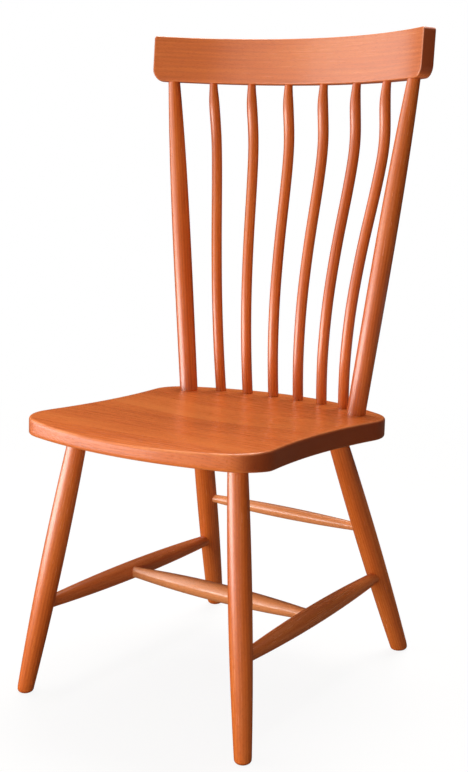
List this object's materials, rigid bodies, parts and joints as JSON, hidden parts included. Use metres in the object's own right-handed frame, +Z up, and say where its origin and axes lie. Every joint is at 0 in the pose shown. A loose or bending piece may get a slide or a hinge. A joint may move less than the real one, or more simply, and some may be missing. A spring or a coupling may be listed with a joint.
{
  "type": "windsor chair",
  "caption": "High-backed wooden dining chair: bent crest rail on turned posts and bent spindles, saddled seat, splayed turned legs braced by stretchers.",
  "frame": {"origin": "on the floor, halfway from the front of the seat to the heels of the rear feet, in the chair's middle plane", "axes": "+Z up; the sitter faces -Y; +X is at the right of someone who looks along +Y"},
  "size_m": [0.5378, 0.5398, 1.0407],
  "materials": {
    "seat_wood": "satin lacquer over orange-brown stain, saddled plank with long grain from side to side",
    "crest_wood": "satin lacquer over orange-brown stain, bent board with grain along its length",
    "post_wood": "satin lacquer over orange-brown stain, turned along the grain",
    "spindle_wood": "satin lacquer over orange-brown stain, turned along the grain and bent",
    "leg_wood": "satin lacquer over orange-brown stain, turned along the grain",
    "stretcher_wood": "satin lacquer over orange-brown stain, turned along the grain",
    "wedge_wood": "bare hardwood, split along the grain",
    "peg_wood": "stained hardwood peg, end grain showing"
  },
  "bodies": {
    "root": {"back_post_left": "post_wood", "back_post_right": "post_wood", "centre_stretcher": "stretcher_wood", "crest_pin_left": "peg_wood", "crest_pin_right": "peg_wood", "crest_rail": "crest_wood", "leg_front_left": "leg_wood", "leg_front_right": "leg_wood", "leg_rear_left": "leg_wood", "leg_rear_right": "leg_wood", "leg_wedge_front_left": "wedge_wood", "leg_wedge_front_right": "wedge_wood", "leg_wedge_rear_left": "wedge_wood", "leg_wedge_rear_right": "wedge_wood", "post_wedge_left": "wedge_wood", "post_wedge_right": "wedge_wood", "rear_stretcher": "stretcher_wood", "seat": "seat_wood", "side_stretcher_left": "stretcher_wood", "side_stretcher_right": "stretcher_wood", "spindle_1": "spindle_wood", "spindle_2": "spindle_wood", "spindle_3": "spindle_wood", "spindle_4": "spindle_wood", "spindle_5": "spindle_wood", "spindle_6": "spindle_wood"}
  },
  "joints": []
}
